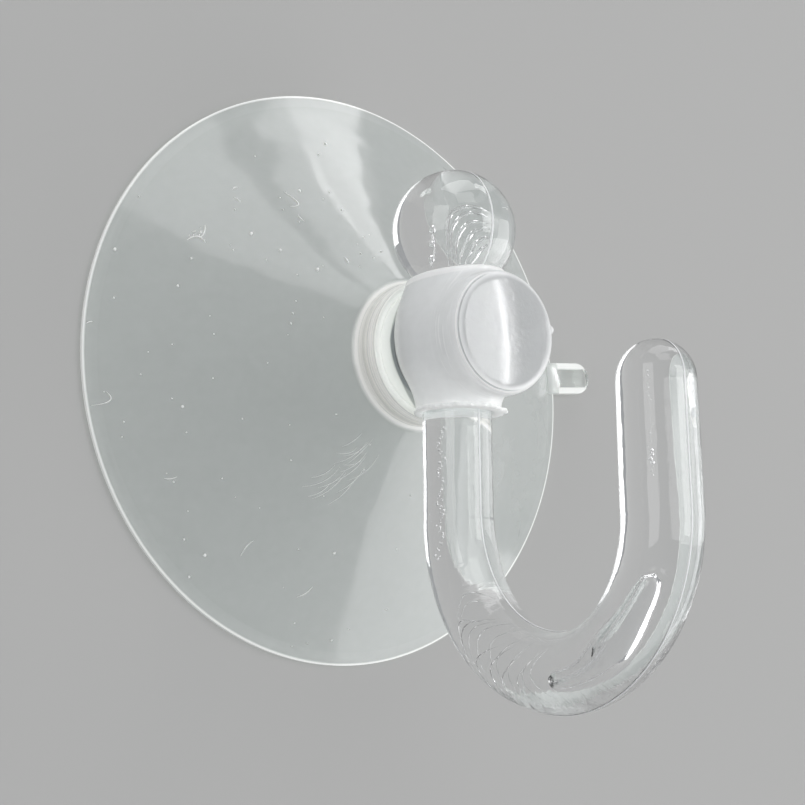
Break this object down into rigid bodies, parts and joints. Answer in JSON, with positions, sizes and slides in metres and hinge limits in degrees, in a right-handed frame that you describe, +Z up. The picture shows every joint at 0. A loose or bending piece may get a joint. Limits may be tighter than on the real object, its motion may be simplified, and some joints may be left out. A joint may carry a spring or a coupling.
{
  "type": "suction cup hook",
  "caption": "Clear soft suction cup with a stepped boss and a cross-bored head that carries a clear J-shaped hook with a ball end.",
  "frame": {"origin": "centre of the cup's sealing lip, on the wall plane y = 0", "axes": "+Z up, -Y out of the wall along the cup's axis, +X to the right when the wall is faced; the hook hangs towards -Z and its arm stands out towards -Y"},
  "size_m": [0.0484, 0.0406, 0.0503],
  "materials": {
    "cup_soft": "translucent soft vinyl, glossy, milky in the thick head and boss",
    "hook_clear": "crystal clear hard plastic, polished"
  },
  "bodies": {
    "cup_body": {"suction_cup": "cup_soft"},
    "hook_body": {"hook": "hook_clear"}
  },
  "joints": [
    {"name": "hook_swivel", "type": "hinge", "parent": "cup_body", "child": "hook_body", "pos_m": [0, -0.01601, 0], "axis": [0, 0, 1], "range_deg": [-110, 110]}
  ]
}
